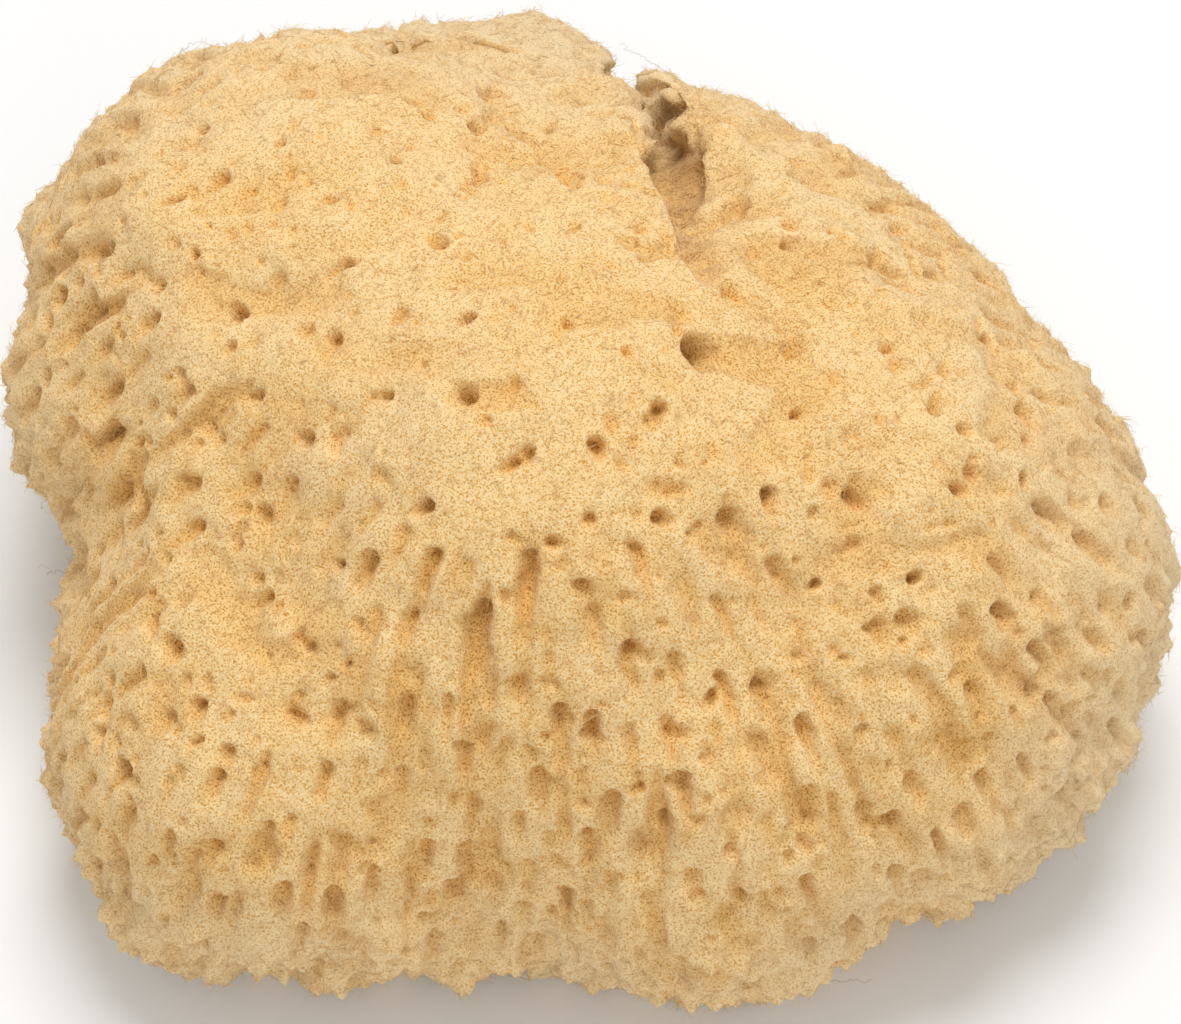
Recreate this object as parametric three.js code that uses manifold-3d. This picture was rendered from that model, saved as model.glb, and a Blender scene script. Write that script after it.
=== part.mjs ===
// A natural bath sponge: one springy, fibrous body that grew as several lobes round a
// crown, with a deep cleft between the two tallest lobes, cut off flat at its root.
// Millimetres, +Z up. The origin is the middle of the flat cut that the sponge rests on.
import * as THREE from "three";
import Module from "manifold-3d";
import { mergeVertices } from "three/addons/utils/BufferGeometryUtils.js";

// Driving dimensions, over the tips of the fibres.
const WIDTH = 150; // along X
const DEPTH = 136; // along Y
const HEIGHT = 76; // along Z, from the cut to the crown

// Places are shares of the sponge's half width, half depth and height.
const place = (x, y, z) => new THREE.Vector3((x * WIDTH) / 2, (y * DEPTH) / 2, z * HEIGHT);

// Each lobe is an ellipsoid: its middle, and its half sizes in the same shares.
const lobes = [
  { name: "crown", at: place(-0.04, -0.12, 0.42), half: place(0.64, 0.62, 0.54) },
  { name: "upper left", at: place(-0.47, 0.26, 0.42), half: place(0.54, 0.61, 0.5) },
  { name: "lower left", at: place(-0.44, -0.48, 0.26), half: place(0.49, 0.48, 0.42) },
  { name: "front", at: place(0.16, -0.54, 0.24), half: place(0.42, 0.44, 0.4) },
  { name: "lower right", at: place(0.48, -0.35, 0.28), half: place(0.46, 0.45, 0.4) },
  { name: "right", at: place(0.54, -0.13, 0.34), half: place(0.42, 0.44, 0.46) },
  { name: "upper right", at: place(0.36, 0.2, 0.38), half: place(0.34, 0.46, 0.42) },
  { name: "upper middle", at: place(0.15, 0.34, 0.38), half: place(0.24, 0.46, 0.42) },
  { name: "back ledge", at: place(-0.18, 0.67, 0.38), half: place(0.3, 0.32, 0.28) },
];
const BLEND = 14; // how far neighbouring lobes flow into each other

// Each hollow is a spindle cut out of the body: where it starts and ends, how wide it is
// across and how deep it is.
const hollows = [
  { name: "cleft mouth", from: place(0.04, 1.0, 0.26), to: place(0.07, 0.6, 0.8), wide: 3, deep: 5 },
  { name: "cleft", from: place(0.05, 0.8, 0.6), to: place(0.17, 0.2, 0.95), wide: 3.2, deep: 7 },
  { name: "cleft head", from: place(0.14, 0.4, 0.9), to: place(0.2, 0.06, 0.99), wide: 2.8, deep: 6 },
  { name: "cleft end", from: place(0.16, -0.08, 0.97), to: place(0.2, -0.17, 0.96), wide: 2.2, deep: 5 },
  { name: "side hollow", from: place(0.15, 0.5, 0.82), to: place(0.28, 0.1, 0.95), wide: 7, deep: 5 },
  { name: "ledge groove", from: place(-0.46, 0.76, 0.76), to: place(0.1, 0.66, 0.74), wide: 4, deep: 7 },
  { name: "front notch", from: place(-0.2, -1.14, 0.04), to: place(-0.18, -0.92, 0.36), wide: 4, deep: 6 },
];

const HEART = place(0, 0, 0.36); // the directions that the body is grown along start here
const DETAIL = 18; // edges that each side of the starting icosahedron is cut into, less one
const HOLLOW_DETAIL = 5;

// Distance from a point to an ellipsoid, negative inside.
function toEllipsoid(point, { at, half }) {
  const scaled = point.clone().sub(at).divide(half);
  const steep = scaled.clone().divide(half).length();
  const reach = scaled.length();
  return reach < 1e-6 ? -Math.min(half.x, half.y, half.z) : (reach * (reach - 1)) / steep;
}

// The smaller of two distances, rounded where they are nearly equal.
function flowing(a, b) {
  const share = Math.max(BLEND - Math.abs(a - b), 0) / BLEND;
  return Math.min(a, b) - (share * share * BLEND) / 4;
}

const toBody = (point) => lobes.map((lobe) => toEllipsoid(point, lobe)).reduce(flowing);

// How far the body reaches from its heart in one direction.
function reachAlong(direction) {
  const at = (distance) => direction.clone().multiplyScalar(distance).add(HEART);
  let outside = WIDTH;
  while (outside > 1 && toBody(at(outside - 1)) > 0) outside -= 1;
  let inside = outside - 1;
  for (let step = 0; step < 12; step += 1) {
    const middle = (inside + outside) / 2;
    if (toBody(at(middle)) > 0) outside = middle;
    else inside = middle;
  }
  return (inside + outside) / 2;
}

// A ball with its shared corners merged and only its positions left.
function plainBall(detail) {
  const ball = new THREE.IcosahedronGeometry(1, detail);
  ball.deleteAttribute("normal");
  ball.deleteAttribute("uv");
  return mergeVertices(ball, 1e-4);
}

function bodyGeometry() {
  const body = plainBall(DETAIL);
  const spots = body.attributes.position;
  const direction = new THREE.Vector3();
  for (let i = 0; i < spots.count; i += 1) {
    direction.fromBufferAttribute(spots, i).normalize();
    const reach = reachAlong(direction);
    spots.setXYZ(i, ...direction.multiplyScalar(reach).add(HEART).toArray());
  }
  return body;
}

function hollowGeometry({ from, to, wide, deep }) {
  const along = to.clone().sub(from);
  const turn = new THREE.Matrix4().lookAt(from, to, new THREE.Vector3(0, 0, 1));
  const middle = from.clone().add(to).divideScalar(2);
  return plainBall(HOLLOW_DETAIL)
    .scale(wide, deep, along.length() / 2)
    .applyMatrix4(turn)
    .translate(...middle.toArray());
}

// The trim under the root: a slab whose top is the flat cut.
function trimSlab() {
  const thickness = HEIGHT;
  return new THREE.BoxGeometry(2 * WIDTH, 2 * DEPTH, thickness).translate(0, 0, -thickness / 2);
}

const wasm = await Module();
wasm.setup();

function toSolid(geometry) {
  const plain = geometry.clone();
  plain.deleteAttribute("normal");
  plain.deleteAttribute("uv");
  const merged = mergeVertices(plain, 1e-4);
  return new wasm.Manifold(
    new wasm.Mesh({
      numProp: 3,
      vertProperties: new Float32Array(merged.attributes.position.array),
      triVerts: new Uint32Array(merged.index.array),
    }),
  );
}

function toGeometry(solid) {
  const { vertProperties, triVerts } = solid.getMesh();
  return new THREE.BufferGeometry()
    .setAttribute("position", new THREE.BufferAttribute(vertProperties, 3))
    .setIndex(new THREE.BufferAttribute(triVerts, 1));
}

// Brings the body to its driving dimensions, with the middle of the cut at the origin.
function trueSize(geometry) {
  geometry.computeBoundingBox();
  const box = geometry.boundingBox;
  const size = box.getSize(new THREE.Vector3());
  const middle = box.getCenter(new THREE.Vector3());
  return geometry
    .translate(-middle.x, -middle.y, 0)
    .scale(WIDTH / size.x, DEPTH / size.y, HEIGHT / size.z);
}

let body = toSolid(bodyGeometry()).subtract(toSolid(trimSlab()));
for (const hollow of hollows) body = body.subtract(toSolid(hollowGeometry(hollow)));

const spongeMaterial = new THREE.MeshStandardMaterial({
  color: new THREE.Color(0.86, 0.7, 0.44),
  roughness: 0.95,
  metalness: 0,
});
const sponge = new THREE.Mesh(trueSize(toGeometry(body)), spongeMaterial);
sponge.name = "sponge";

const group = new THREE.Group();
group.add(sponge);

export default group;
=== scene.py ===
import bmesh
import bpy
import numpy as np
from math import cos, radians, sin
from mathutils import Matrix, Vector
from mathutils.kdtree import KDTree


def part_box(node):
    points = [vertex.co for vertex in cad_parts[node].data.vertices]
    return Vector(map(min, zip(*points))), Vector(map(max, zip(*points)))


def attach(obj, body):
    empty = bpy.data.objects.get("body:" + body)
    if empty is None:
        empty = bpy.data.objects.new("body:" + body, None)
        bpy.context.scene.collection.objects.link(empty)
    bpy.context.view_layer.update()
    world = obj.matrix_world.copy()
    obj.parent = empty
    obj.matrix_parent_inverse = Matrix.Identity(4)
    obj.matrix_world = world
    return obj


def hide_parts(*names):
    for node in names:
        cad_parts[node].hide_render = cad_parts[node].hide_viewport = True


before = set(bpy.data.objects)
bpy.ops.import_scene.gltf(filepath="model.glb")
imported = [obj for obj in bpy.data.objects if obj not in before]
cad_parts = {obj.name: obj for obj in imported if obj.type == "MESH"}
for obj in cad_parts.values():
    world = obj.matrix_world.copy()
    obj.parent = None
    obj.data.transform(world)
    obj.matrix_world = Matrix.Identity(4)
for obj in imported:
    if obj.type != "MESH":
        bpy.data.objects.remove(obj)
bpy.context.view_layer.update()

# ---------------------------------------------------------------------------------------
# The body. The real one is a single skeleton of springy fibres that grew as several lobes
# round a crown. Its skin swells and furrows, ribs run down its skirt, and canals open in
# it everywhere. Sizes here are millimetres until the mesh is made.
MM = 0.001
low, high = (np.array(corner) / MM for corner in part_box("sponge"))
middle = (low + high) / 2
half = (high - low) / 2

GRAIN = 0.45  # spacing of the points that the skin is worked in
NAP = 0.7  # how far the fibres stand out of the skin, so the skin lies this far inside
BODY_TRIANGLES = 190_000
SOFTENING_LEVELS = 10  # the softening grows in this many levels above the cut


def plain_mesh(thing):
    """The thing's mesh with its modifiers applied and taken off."""
    bpy.context.view_layer.update()
    made = bpy.data.meshes.new_from_object(thing.evaluated_get(bpy.context.evaluated_depsgraph_get()))
    thing.modifiers.clear()
    old = thing.data
    thing.data = made
    bpy.data.meshes.remove(old)
    return thing


def mended_copy(node, name):
    """A copy of a CAD solid as one joined skin."""
    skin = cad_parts[node].data.copy()
    work = bmesh.new()
    work.from_mesh(skin)
    bmesh.ops.remove_doubles(work, verts=work.verts, dist=1e-6)
    work.to_mesh(skin)
    work.free()
    skin.materials.clear()
    thing = bpy.data.objects.new(name, skin)
    bpy.context.scene.collection.objects.link(thing)
    return thing


def read_points(mesh, layer="co"):
    values = np.empty(len(mesh.vertices) * 3)
    source = mesh.vertices if layer == "co" else mesh.vertex_normals
    source.foreach_get("co" if layer == "co" else "vector", values)
    return values.reshape(-1, 3)


def step(low_edge, high_edge, value):
    """0 below the low edge, 1 above the high edge, and smooth between."""
    share = np.clip((value - low_edge) / (high_edge - low_edge), 0, 1)
    return share * share * (3 - 2 * share)


def lumps(points, size, seed):
    """Smooth noise between about -1 and 1, with its lumps about size apart."""
    side = 64
    table = np.random.default_rng(seed).uniform(-1, 1, (side, side, side))
    place = points / size
    cell = np.floor(place).astype(int)
    share = place - cell
    share = share * share * share * (share * (6 * share - 15) + 10)
    total = np.zeros(len(points))
    for corner in np.ndindex(2, 2, 2):
        weight = np.where(corner, share, 1 - share).prod(axis=1)
        total += weight * table[tuple(((cell + corner) % side).T)]
    return total * 1.5


def nearest_tip(points, size, seed):
    """How far the nearest of many scattered tips is, where size is their spacing."""
    side = 48
    table = np.random.default_rng(seed).uniform(0.1, 0.9, (side, side, side, 3))
    place = points / size
    cell = np.floor(place).astype(int)
    nearest = np.full(len(points), 9.0)
    for corner in np.ndindex(3, 3, 3):
        other = cell + corner - 1
        tip = other + table[tuple((other % side).T)]
        nearest = np.minimum(nearest, np.linalg.norm(place - tip, axis=1))
    return nearest


body = mended_copy("sponge", "sponge_body")
remesh = body.modifiers.new("skin", "REMESH")
remesh.mode = "VOXEL"
remesh.voxel_size = GRAIN * MM
plain_mesh(body)

above_cut = body.vertex_groups.new(name="above the cut")
spots = read_points(body.data) / MM
for level in np.arange(1, SOFTENING_LEVELS + 1):
    share = step(0.3, 6, spots[:, 2])
    weight = level / SOFTENING_LEVELS
    chosen = np.flatnonzero((share > (level - 1) / SOFTENING_LEVELS) & (share <= weight))
    above_cut.add(chosen.tolist(), weight, "REPLACE")
soften = body.modifiers.new("soften", "SMOOTH")
soften.vertex_group = above_cut.name
soften.factor = 0.5
soften.iterations = 110
plain_mesh(body)
body.vertex_groups.clear()

spots = read_points(body.data) / MM
outward = read_points(body.data, "normal")
on_cut = step(-0.75, -0.95, outward[:, 2]) * step(1.2, 0.2, spots[:, 2])

# Every place on the skin has a way downhill and a way across, and the furrows follow them.
crown = middle + half * [-0.05, -0.1, 1]
down = np.array([0, 0, -1.0]) - outward * -outward[:, 2:]
fanned = (spots - crown) * [1, 1, 0]
fanned /= np.linalg.norm(fanned, axis=1)[:, None] + 1e-6
down = down + fanned * 0.35
down -= outward * (down * outward).sum(axis=1)[:, None]
down /= np.linalg.norm(down, axis=1)[:, None] + 1e-6
across = np.cross(outward, down)

steep = step(0.9, 0.74, outward[:, 2])  # 0 on the crown, 1 on the skirt

# The furrows are noise drawn out downhill.
ways = np.arange(-6, 6.1, 1.5)
streak = sum(lumps(spots + down * way, 2.3, 2) for way in ways) / len(ways)
patchy = step(-0.5, 0.5, lumps(spots, 9, 12))
furrow = step(-0.08, 0.4, -streak) * steep * (0.4 + 0.6 * patchy)
level_bands = spots * [1 / 11, 1 / 3.4, 1 / 3.4]
band = step(-0.1, 0.8, -lumps(level_bands, 1, 3)) * (1 - steep) * (1 - 0.5 * patchy)
rim = step(0.5, 0.05, outward[:, 2])  # the overhanging sides, where tufts stand out most
tuft = np.clip(1 - nearest_tip(spots, 2.9, 7) / 0.8, 0, 1) ** 1.4
relief = -NAP * (1 - on_cut)
relief = relief + 1.1 * lumps(spots, 19, 4) + (0.6 + 0.9 * rim) * lumps(spots, 8, 5)
relief = relief + 0.7 - 1.5 * furrow - 1.1 * band
relief = relief + (0.1 + 1.8 * rim) * tuft
relief = relief + 0.2 * lumps(spots, 3.2, 6) + 0.1 * lumps(spots, 1.1, 8)
relief = relief * (1 - on_cut) * step(-0.2, 3, spots[:, 2])
moved = spots + outward * relief[:, None]

# The colours carry painted shade by how deep each place lies and in the cleft's valley, and are paler
# towards the back, the right and the overhanging sides.
# Painted shade: furrows and bands are darkened, and the shade is lessened on the overhanging sides.
hollow_shade = 0.75 * furrow + 0.5 * band - 0.25 * rim
# Painted shade in the cleft's valley, grey-brown in patches.
valley_shade = np.zeros(len(spots))
# The back and the right, and what stands furthest out, are a little paler and greyer.
share_right, share_back = ((spots - middle) / half).T[:2]
paler_back_and_rims = step(0.2, 1.0, share_back) + 0.6 * step(0.5, 1.0, share_right)
paler_back_and_rims = np.clip(paler_back_and_rims + 0.4 * rim + 0.15 * lumps(spots, 15, 15), 0, 1)


def press_valley(route, wide, deep, shaded):
    """Presses a valley into the skin, on the right of a crisp lip that runs along a route, and paints
    shade into it, grey-brown as far as the last argument asks.
    """
    lip_ends = [middle[:2] + half[:2] * share for share in route]
    nearest = np.full(len(spots), 99.0)
    for start, end in zip(lip_ends, lip_ends[1:]):
        way = end - start
        long = np.linalg.norm(way)
        way /= long
        offset = spots[:, :2] - start
        lengthways = offset @ way
        rightwards = offset @ [-way[1], way[0]]
        beyond = np.maximum(np.maximum(-lengthways, lengthways - long), 0)
        miss = np.hypot(np.where(rightwards < 0, -rightwards * 4, rightwards), beyond)
        nearest = np.minimum(nearest, miss)
    ragged = lumps(spots, 2.6, 14) * 0.2
    pressed = step(1, 0.15, nearest / wide + ragged) * (outward[:, 2] > 0.1)
    moved[:] = moved - outward * (deep * pressed)[:, None]
    # The valley gets painted shade, and a painted grey-brown shade where the last argument asks for
    # it.
    hollow_shade[:] = np.maximum(hollow_shade, pressed * 0.6)
    valley_shade[:] = np.maximum(valley_shade, pressed * shaded)


# The cleft's lip, and a crease on the lobe to its left.
# Only the cleft's valley gets the grey-brown painted shade.
press_valley([(0.1, 0.56), (0.12, 0.47), (0.145, 0.27), (0.18, 0.09)], 6.5, 1.9, 0.6)
press_valley([(-0.1, 0.42), (-0.06, 0.34), (-0.03, 0.26)], 3.2, 1.8, 0)

tree_of_spots = KDTree(len(spots))
for index, spot in enumerate(spots):
    tree_of_spots.insert(spot, index)
tree_of_spots.balance()


DIP = 0.7  # how much of a canal's stated depth opens at its mouth


def open_canal(index, wide, long, deep, turn, roof, soft=0):
    """Presses a canal's mouth into the skin. It dives uphill under its upper lip, which roof sets."""
    centre = spots[index]
    facing, along = outward[index], down[index]
    side = across[index]
    turned = along * cos(turn) + side * sin(turn)
    sideways = np.cross(facing, turned)
    found = tree_of_spots.find_range(centre, max(wide, long) * 1.2)
    near = np.array([place for _, place, _ in found])
    if not len(near):
        return
    offset = spots[near] - centre
    length_way = offset @ turned
    reach = np.where(length_way < 0, wide / 2, long * 0.8)
    far = np.hypot(length_way / reach, offset @ sideways / (wide / 2))
    ragged = lumps(spots[near] + index % 97, 1.4, 9) * 0.16
    bowl = step(1.2 + 0.3 * soft, 0.15 - 0.15 * soft, far + ragged)
    bowl *= 1 - (0.35 + 0.3 * soft) * np.clip(length_way / reach, 0, 1)
    inward = -facing - turned * roof
    moved[near] += inward * (DIP * deep * bowl)[:, None]
    lip = step(1.5, 1.1, far + ragged) * step(0.8, 1.1, far + ragged)
    moved[near] += facing * (0.05 * lip)[:, None]
    # The canal's bowl gets painted shade, the more the deeper it is.
    hollow_shade[near] = np.maximum(hollow_shade[near], bowl * min(1, 0.35 + deep / 4))


def spread_out(candidates, pitch, stretch):
    """Those that stand a pitch apart across the slope, and stretch times that downhill."""
    kept = []
    for index in candidates:
        offset = spots[kept] - spots[index]
        lengthways = offset @ down[index]
        crossways = (offset**2).sum(axis=1) - lengthways**2
        if not kept or (crossways + (lengthways / stretch) ** 2).min() > pitch**2:
            kept.append(index)
    return kept


# The pit at the cleft's end opens where the solid has it. All the other canals are spread
# by rule: few and clear on the crown, close and drawn out downhill on the skirt, and tiny
# ones everywhere.
CLEFT_END = 0.18, -0.125  # shares of the half width and half depth
CROWN_PITCH = 8.5
SKIRT_PITCH = 3.9
SMALL_CANALS = 2000
chance = np.random.default_rng(11)

on_crown = np.flatnonzero(steep < 0.5)
miss = np.linalg.norm(spots[on_crown, :2] - middle[:2] - half[:2] * CLEFT_END, axis=1)
open_canal(on_crown[miss.argmin()], 4.4, 5.2, 6.2, 0, 0.2, -0.3)

for index in spread_out(chance.choice(on_crown, 3000, replace=False), CROWN_PITCH, 1.3):
    sizes = chance.random(4)
    wide = 1.5 + 1.7 * sizes[0] ** 1.5
    long = wide * (1.1 + 1.2 * sizes[1] ** 2)
    open_canal(index, wide, long, 2.2 + 1.8 * sizes[2], radians(180 * (sizes[3] - 0.5)), 0.2, -0.3)

on_skirt = np.flatnonzero((steep > 0.55) & (on_cut == 0) & (spots[:, 2] > 2))
for index in spread_out(chance.choice(on_skirt, 7000, replace=False), SKIRT_PITCH, 1.7):
    sizes = chance.random(4)
    wide = 1.8 + 1.3 * sizes[0] ** 1.5
    long = 4.0 + 8.0 * sizes[1]
    open_canal(index, wide, long, 0.8 + 2.7 * sizes[2] ** 1.5, 0, 0.25, 1.3 * sizes[3] - 0.3)

for index in chance.choice(len(spots), SMALL_CANALS, replace=False):
    sizes = chance.random(4)
    if on_cut[index] > 0.5 and sizes[3] > 0.5:
        continue
    wide = 1.1 + 1.4 * sizes[0] ** 2
    long = wide * (0.9 + 0.8 * sizes[1])
    deep = wide * (0.45 + 0.7 * sizes[2] ** 2)
    open_canal(index, wide, long, deep, radians(160 * (sizes[1] - 0.5)), 0.2)

moved[:, 2] = np.maximum(moved[:, 2], 0)
body.data.vertices.foreach_set("co", (moved * MM).ravel())
# These carry the painted shade of the sunk places and the cleft's valley, the paleness of the back and
# sides, and where the fibres grow.
carried = {"sunk_shade": hollow_shade, "valley_shade": valley_shade, "paler_back_and_rims": paler_back_and_rims, "nap": 1 - on_cut}
for name, values in carried.items():
    attribute = body.data.attributes.new(name, "FLOAT", "POINT")
    attribute.data.foreach_set("value", values.astype(np.float32))

body.data.calc_loop_triangles()
thin = body.modifiers.new("thin", "DECIMATE")
thin.ratio = BODY_TRIANGLES / len(body.data.loop_triangles)
plain_mesh(body)
body.data.shade_smooth()


class Wire:
    """One output socket of a node, which sums and comparisons can be written with."""

    def __init__(self, graph, socket):
        self.graph = graph
        self.socket = socket

    def maths(self, operation, *values):
        return self.graph.add("ShaderNodeMath", {"operation": operation}, dict(enumerate(values)))

    def __add__(self, other):
        return self.maths("ADD", self, other)

    def __radd__(self, other):
        return self.maths("ADD", other, self)

    def __sub__(self, other):
        return self.maths("SUBTRACT", self, other)

    def __rsub__(self, other):
        return self.maths("SUBTRACT", other, self)

    def __mul__(self, other):
        return self.maths("MULTIPLY", self, other)

    def rise(self, start, end):
        """0 before start, 1 after end, and smooth between."""
        settings = {"interpolation_type": "SMOOTHSTEP"}
        return self.graph.add("ShaderNodeMapRange", settings, {"Value": self, 1: start, 2: end})


class Graph:
    """A node tree, filled by one method."""

    def __init__(self, tree):
        self.tree = tree

    def add(self, kind, settings=None, sockets=None, out=0):
        node = self.tree.nodes.new(kind)
        for name, value in (settings or {}).items():
            setattr(node, name, value)
        for name, value in (sockets or {}).items():
            socket = node.inputs[name]
            if isinstance(value, Wire):
                self.tree.links.new(value.socket, socket)
            else:
                socket.default_value = value
        return Wire(self, node.outputs[out])

    def mixed(self, share, first, second):
        """A colour between two."""
        return self.add(
            "ShaderNodeMix", {"data_type": "RGBA"}, {"Factor": share, 6: first, 7: second}, 2
        )


def colour(red, green, blue):
    """A linear colour from a red, a green and a blue of 0 to 255."""
    parts = [part / 255 for part in (red, green, blue)]
    linear = [part / 12.92 if part <= 0.04045 else ((part + 0.055) / 1.055) ** 2.4 for part in parts]
    return (*linear, 1)


CREAM = colour(253, 224, 170)
HONEY = colour(244, 201, 130)
OCHRE = colour(234, 176, 88)
UMBER = colour(194, 138, 62)
# This grey-brown paints shade in the cleft's valley and tints the loose hairs.
GREY_BROWN = colour(176, 140, 104)
SPECK = colour(150, 98, 44)
PALE = colour(232, 212, 176)


def fibre_material(name, strands, tint=None):
    """Dry spongin, with painted shade: cream where fibres stand up to the light, ochre to umber where
    they lie deep.
    """
    material = bpy.data.materials.new(name)
    material.use_nodes = True
    graph = Graph(material.node_tree)
    shader = material.node_tree.nodes["Principled BSDF"]
    place = graph.add("ShaderNodeTexCoord", out=3)
    # deep is painted shade: it turns the skin from cream through ochre to umber, most in furrows,
    # bands, valleys and canals.
    deep = graph.add("ShaderNodeAttribute", {"attribute_name": "sunk_shade"}, out=2)
    clouds = graph.add("ShaderNodeTexNoise", {}, {"Vector": place, "Scale": 70.0, "Detail": 2.0})
    patches = graph.add("ShaderNodeTexNoise", {}, {"Vector": place, "Scale": 260.0, "Detail": 3.0})
    fleck = graph.add("ShaderNodeTexNoise", {}, {"Vector": place, "Scale": 4000.0, "Detail": 1.0})
    tone = deep * 0.7 + (clouds - 0.5) * 0.45 + (patches - 0.5) * 0.3
    if strands:
        along = graph.add("ShaderNodeAttribute", {"attribute_name": "along"}, out=2)
        tone = tone + 0.25 - along * 0.4 + fleck.rise(0.5, 0.35) * 0.3
    else:
        tone = tone + fleck.rise(0.48, 0.34) * 0.75 - fleck.rise(0.54, 0.66) * 0.3 + 0.1
    skin = graph.mixed(tone.rise(-0.2, 0.4), CREAM, HONEY)
    skin = graph.mixed(tone.rise(0.3, 0.95), skin, OCHRE)
    skin = graph.mixed(tone.rise(0.95, 1.7), skin, UMBER)
    if not strands:
        # The dark specks thicken where the painted shade is deep.
        skin = graph.mixed(fleck.rise(0.46, 0.32) * (0.3 + deep * 0.35), skin, SPECK)
    shaded_valley = graph.add("ShaderNodeAttribute", {"attribute_name": "valley_shade"}, out=2)
    paler_back_and_rims = graph.add("ShaderNodeAttribute", {"attribute_name": "paler_back_and_rims"}, out=2)
    # The back, the right and the overhanging sides are made paler and greyer.
    skin = graph.mixed(paler_back_and_rims * 0.55, skin, PALE)
    # Painted shade: the cleft's valley is darkened grey-brown in patches.
    skin = graph.mixed(shaded_valley * 0.7 * patches.rise(0.3, 0.6), skin, GREY_BROWN)
    if tint:
        skin = graph.mixed(0.8, skin, tint)
    material.node_tree.links.new(skin.socket, shader.inputs["Base Color"])
    shader.inputs["Roughness"].default_value = 0.9
    shader.inputs["Specular IOR Level"].default_value = 0.15
    shader.inputs["Sheen Weight"].default_value = 0.15
    shader.inputs["Sheen Roughness"].default_value = 0.6
    if not strands:
        shader.subsurface_method = "BURLEY"
        shader.inputs["Subsurface Weight"].default_value = 0.25
        shader.inputs["Subsurface Radius"].default_value = (1.0, 0.65, 0.3)
        shader.inputs["Subsurface Scale"].default_value = 0.0025
        bump = graph.add("ShaderNodeBump", {}, {"Strength": 0.7, "Distance": 0.0003, "Height": fleck})
        material.node_tree.links.new(bump.socket, shader.inputs["Normal"])
    return material


body.data.materials.append(fibre_material("sponge skin", False))
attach(body, "root")
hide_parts("sponge")

# ---------------------------------------------------------------------------------------
# The felt. Fine curled fibres of the same stuff stand out of the skin everywhere but on
# the cut, short and lying down for the most part, with a few longer ones.
def felt_tree():
    tree = bpy.data.node_groups.new("felt", "GeometryNodeTree")
    face = tree.interface
    face.new_socket("Geometry", in_out="INPUT", socket_type="NodeSocketGeometry")
    for name in ("Fibres per square metre", "Length", "Thickness", "Lean", "Curl"):
        face.new_socket(name, in_out="INPUT", socket_type="NodeSocketFloat")
    face.new_socket("Seed", in_out="INPUT", socket_type="NodeSocketInt")
    face.new_socket("Steps", in_out="INPUT", socket_type="NodeSocketInt")
    face.new_socket("Material", in_out="INPUT", socket_type="NodeSocketMaterial")
    face.new_socket("Geometry", in_out="OUTPUT", socket_type="NodeSocketGeometry")
    graph = Graph(tree)
    given = tree.nodes.new("NodeGroupInput")
    skin, amount, length, thick, lean, curl, seed, steps, finish = (
        Wire(graph, given.outputs[i]) for i in range(9)
    )
    nap_share = graph.add("GeometryNodeInputNamedAttribute", {"data_type": "FLOAT"}, {0: "nap"})
    roots = tree.nodes.new("GeometryNodeDistributePointsOnFaces")
    tree.links.new(skin.socket, roots.inputs["Mesh"])
    tree.links.new((amount * nap_share).socket, roots.inputs["Density"])
    tree.links.new(seed.socket, roots.inputs["Seed"])
    points, normal = Wire(graph, roots.outputs[0]), Wire(graph, roots.outputs[1])

    def vector(operation, first, second=None, out=0):
        sockets = {0: first} if second is None else {0: first, 1: second}
        return graph.add("ShaderNodeVectorMath", {"operation": operation}, sockets, out)

    stray = graph.add(
        "FunctionNodeRandomValue",
        {"data_type": "FLOAT_VECTOR"},
        {0: (-1.0, -1.0, -1.0), 1: (1.0, 1.0, 1.0), "Seed": seed},
    )
    lying = vector("NORMALIZE", vector("CROSS_PRODUCT", normal, stray))
    raised = graph.add("ShaderNodeVectorMath", {"operation": "SCALE"}, {0: normal, "Scale": lean})
    towards = vector("ADD", lying, raised)
    turn = graph.add("FunctionNodeAlignRotationToVector", {"axis": "Z"}, {"Vector": towards})
    size = graph.add("FunctionNodeRandomValue", {}, {2: 0.6, 3: 1.3, "Seed": seed + 7}, 1)
    end = graph.add("ShaderNodeCombineXYZ", {}, {"Z": length})
    line = graph.add("GeometryNodeCurvePrimitiveLine", {}, {"End": end})
    line = graph.add("GeometryNodeResampleCurve", {}, {"Curve": line, "Count": steps})
    sown = graph.add(
        "GeometryNodeInstanceOnPoints",
        {},
        {"Points": points, "Instance": line, "Rotation": turn, "Scale": size},
    )
    strands = graph.add("GeometryNodeRealizeInstances", {}, {"Geometry": sown})
    along = graph.add("GeometryNodeSplineParameter")
    place = graph.add("GeometryNodeInputPosition")
    swirl = graph.add("ShaderNodeTexNoise", {}, {"Vector": place, "Scale": 900.0, "Detail": 1.0}, 1)
    swirl = vector("SUBTRACT", swirl, (0.5, 0.5, 0.5))
    pull = graph.add("ShaderNodeVectorMath", {"operation": "SCALE"}, {0: swirl, "Scale": curl * along})
    strands = graph.add("GeometryNodeSetPosition", {}, {"Geometry": strands, "Offset": pull})
    strands = graph.add(
        "GeometryNodeStoreNamedAttribute",
        {"data_type": "FLOAT", "domain": "POINT"},
        {"Geometry": strands, "Name": "along", "Value": along},
    )
    ring = graph.add("GeometryNodeCurvePrimitiveCircle", {}, {"Resolution": 3, "Radius": 0.5})
    tubes = graph.add(
        "GeometryNodeCurveToMesh",
        {},
        {
            "Curve": strands,
            "Profile Curve": ring,
            "Scale": thick * (1 - along * 0.55),
            "Fill Caps": True,
        },
    )
    tubes = graph.add("GeometryNodeRealizeInstances", {}, {"Geometry": tubes})
    tubes = graph.add("GeometryNodeSetMaterial", {}, {"Geometry": tubes, "Material": finish})
    result = tree.nodes.new("NodeGroupOutput")
    tree.links.new(tubes.socket, result.inputs[0])
    return tree


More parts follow.
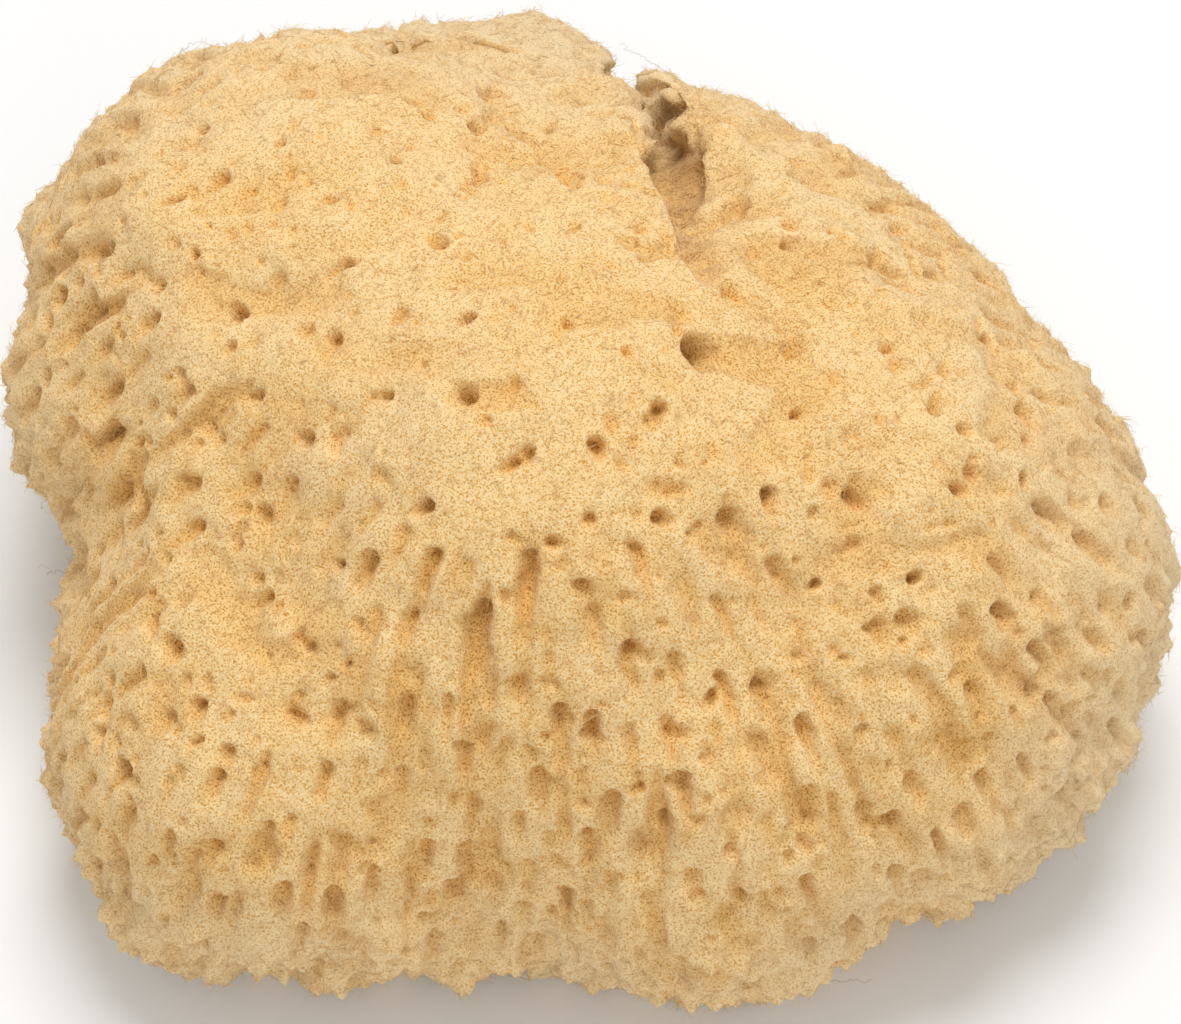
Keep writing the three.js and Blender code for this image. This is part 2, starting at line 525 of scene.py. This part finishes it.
felt = felt_tree()
felt_finish = fibre_material("sponge fibres", True)


def grow_felt(name, **given):
    """One layer of fibres on the body's skin, as a plain mesh of its own."""
    layer = bpy.data.objects.new(name, body.data.copy())
    bpy.context.scene.collection.objects.link(layer)
    modifier = layer.modifiers.new("felt", "NODES")
    modifier.node_group = felt
    for item in felt.interface.items_tree:
        if item.in_out == "INPUT" and item.name in given:
            modifier[item.identifier] = given[item.name]
    plain_mesh(layer)
    points = read_points(layer.data)
    points[:, 2] = np.maximum(points[:, 2], 0)
    layer.data.vertices.foreach_set("co", points.ravel())
    layer.data.shade_smooth()
    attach(layer, "root")
    return layer


loose_finish = fibre_material("loose hairs", True, GREY_BROWN)

# Name, fibres per square centimetre, length and thickness in millimetres, how far they
# lean out of the skin, how far they curl in millimetres, points along each, and finish.
layers = [
    ("felt_ground", 18.5, 1.4, 0.12, 0.1, 1.2, 4, felt_finish),
    ("felt_middle", 18.5, 1.5, 0.11, 0.2, 1.4, 4, felt_finish),
    ("felt_nap", 18.5, 1.2, 0.1, 0.35, 1.2, 4, felt_finish),
    ("felt_wisps", 18, 2.1, 0.09, 0.3, 2.2, 4, felt_finish),
    ("loose_hairs", 0.07, 6.5, 0.09, 0.08, 4.0, 22, loose_finish),
]
for number, (name, count, length, thick, lean, curl, steps, finish) in enumerate(layers):
    grow_felt(
        name,
        **{
            "Fibres per square metre": count * 1e4,
            "Length": length * MM,
            "Thickness": thick * MM,
            "Lean": lean,
            "Curl": curl * MM,
            "Seed": 20 + number,
            "Steps": steps,
            "Material": finish,
        },
    )

# ---------------------------------------------------------------------------------------
# The studio: a plain pale floor, a big soft light above and a weak one in front.
def plain_floor(side, name):
    corners = [(x * side, y * side, 0) for x, y in ((-1, -1), (1, -1), (1, 1), (-1, 1))]
    mesh = bpy.data.meshes.new(name)
    mesh.from_pydata(corners, [], [(0, 1, 2, 3)])
    floor = bpy.data.objects.new(name, mesh)
    bpy.context.scene.collection.objects.link(floor)
    paint = bpy.data.materials.new("pale floor")
    paint.use_nodes = True
    shader = paint.node_tree.nodes["Principled BSDF"]
    shader.inputs["Base Color"].default_value = (0.97, 0.97, 0.97, 1)
    shader.inputs["Roughness"].default_value = 0.9
    mesh.materials.append(paint)


def soft_light(name, place, aim, size, watts):
    lamp = bpy.data.lights.new(name, "AREA")
    lamp.shape = "DISK"
    lamp.size = size
    lamp.energy = watts
    light = bpy.data.objects.new(name, lamp)
    light.location = place
    light.rotation_euler = (Vector(aim) - Vector(place)).to_track_quat("-Z", "Y").to_euler()
    bpy.context.scene.collection.objects.link(light)


plain_floor(3, "floor")
soft_light("sky light", (0.02, 0.3, 0.88), (0, 0, 0.03), 0.45, 4.6)
soft_light("front fill", (0.3, -0.9, 0.5), (0, 0, 0.03), 0.8, 1.7)
world = bpy.data.worlds.new("studio")
world.use_nodes = True
background = world.node_tree.nodes["Background"]
background.inputs["Color"].default_value = (1, 1, 1, 1)
background.inputs["Strength"].default_value = 0.52
bpy.context.scene.world = world
bpy.context.scene.view_settings.view_transform = "Standard"
bpy.context.scene.cycles.max_bounces = 3  # light that has bounced more adds little in felt
bpy.context.scene.cycles.diffuse_bounces = 2

# The camera stands in front and looks down on the sponge, which fills its picture.
RISE = radians(60)
STANDOFF = 0.5
PICTURE = 1181, 1024
SENSOR = 36  # millimetres across
target = Vector(middle * MM)
back = Vector((0, -cos(RISE), sin(RISE)))
above = Vector((0, sin(RISE), cos(RISE)))
skin_points = read_points(body.data)
for _ in range(6):
    ray = skin_points - np.array(target)
    distance = STANDOFF - ray @ np.array(back)
    sideways = ray[:, 0] / distance
    upwards = (ray @ np.array(above)) / distance
    target.x += STANDOFF * (sideways.max() + sideways.min()) / 2
    target += above * (STANDOFF * (upwards.max() + upwards.min()) / 2)
tall = (upwards.max() - upwards.min()) * PICTURE[0] / PICTURE[1]
reach = max(sideways.max() - sideways.min(), tall)
camera = bpy.data.objects.new("camera", bpy.data.cameras.new("camera"))
camera.data.sensor_width = SENSOR
camera.data.lens = SENSOR / reach
camera.location = target + back * STANDOFF
camera.rotation_euler = (-back).to_track_quat("-Z", "Y").to_euler()
bpy.context.scene.collection.objects.link(camera)
bpy.context.scene.camera = camera
